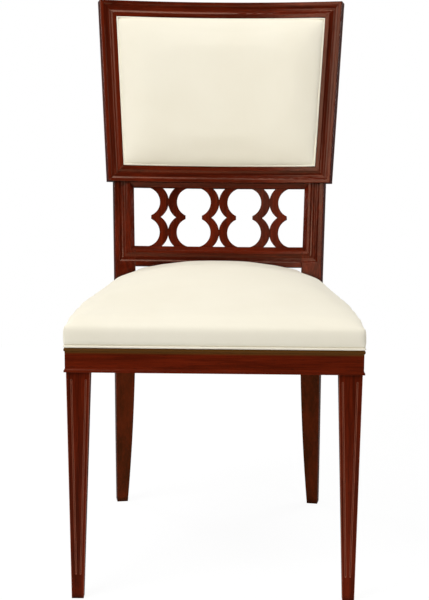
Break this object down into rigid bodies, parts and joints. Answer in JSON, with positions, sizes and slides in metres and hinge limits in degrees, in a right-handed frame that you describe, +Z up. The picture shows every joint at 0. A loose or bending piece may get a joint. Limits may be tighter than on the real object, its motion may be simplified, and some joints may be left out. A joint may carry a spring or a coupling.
{
  "type": "side chair",
  "caption": "Polished wood side chair with an upholstered seat, a raked and curved back with a padded panel above a pierced fret, fluted tapering front legs and splayed rear legs",
  "frame": {"origin": "On the floor under the middle of the chair's box", "axes": "+X to the right of someone facing the chair's front, +Y from the front legs to the back, +Z up"},
  "size_m": [0.472, 0.5568, 0.9147],
  "materials": {
    "polished_wood": "French-polished mahogany, fine straight grain",
    "plain_wood": "unpolished frame wood",
    "plywood": "plain plywood",
    "cover_fabric": "plain cream upholstery weave",
    "welt_fabric": "piping in the same cream weave",
    "padding": "seat padding under the cover",
    "dust_cloth": "thin black cloth",
    "screw_steel": "plain steel"
  },
  "bodies": {
    "root": {"back_board": "plywood", "back_cover": "cover_fabric", "back_dowels": "plain_wood", "back_foam": "padding", "back_welt": "welt_fabric", "corner_block_front_left": "plain_wood", "corner_block_front_right": "plain_wood", "corner_block_rear_left": "plain_wood", "corner_block_rear_right": "plain_wood", "corner_block_screws": "screw_steel", "fret_base_rail": "polished_wood", "fret_head_rail": "polished_wood", "fret_splat_centre": "polished_wood", "fret_splat_left": "polished_wood", "fret_splat_right": "polished_wood", "front_leg_left": "polished_wood", "front_leg_right": "polished_wood", "front_seat_rail": "polished_wood", "left_seat_rail": "polished_wood", "mitre_dowels": "plain_wood", "outside_back": "cover_fabric", "panel_base_rail": "polished_wood", "panel_stile_left": "polished_wood", "panel_stile_right": "polished_wood", "panel_top_rail": "polished_wood", "rear_leg_left": "polished_wood", "rear_leg_right": "polished_wood", "rear_seat_rail": "plain_wood", "right_seat_rail": "polished_wood", "seat_board": "plywood", "seat_cover": "cover_fabric", "seat_dust_cover": "dust_cloth", "seat_foam": "padding", "seat_frame_dowels": "plain_wood", "seat_screws": "screw_steel", "seat_welt": "welt_fabric"}
  },
  "joints": []
}
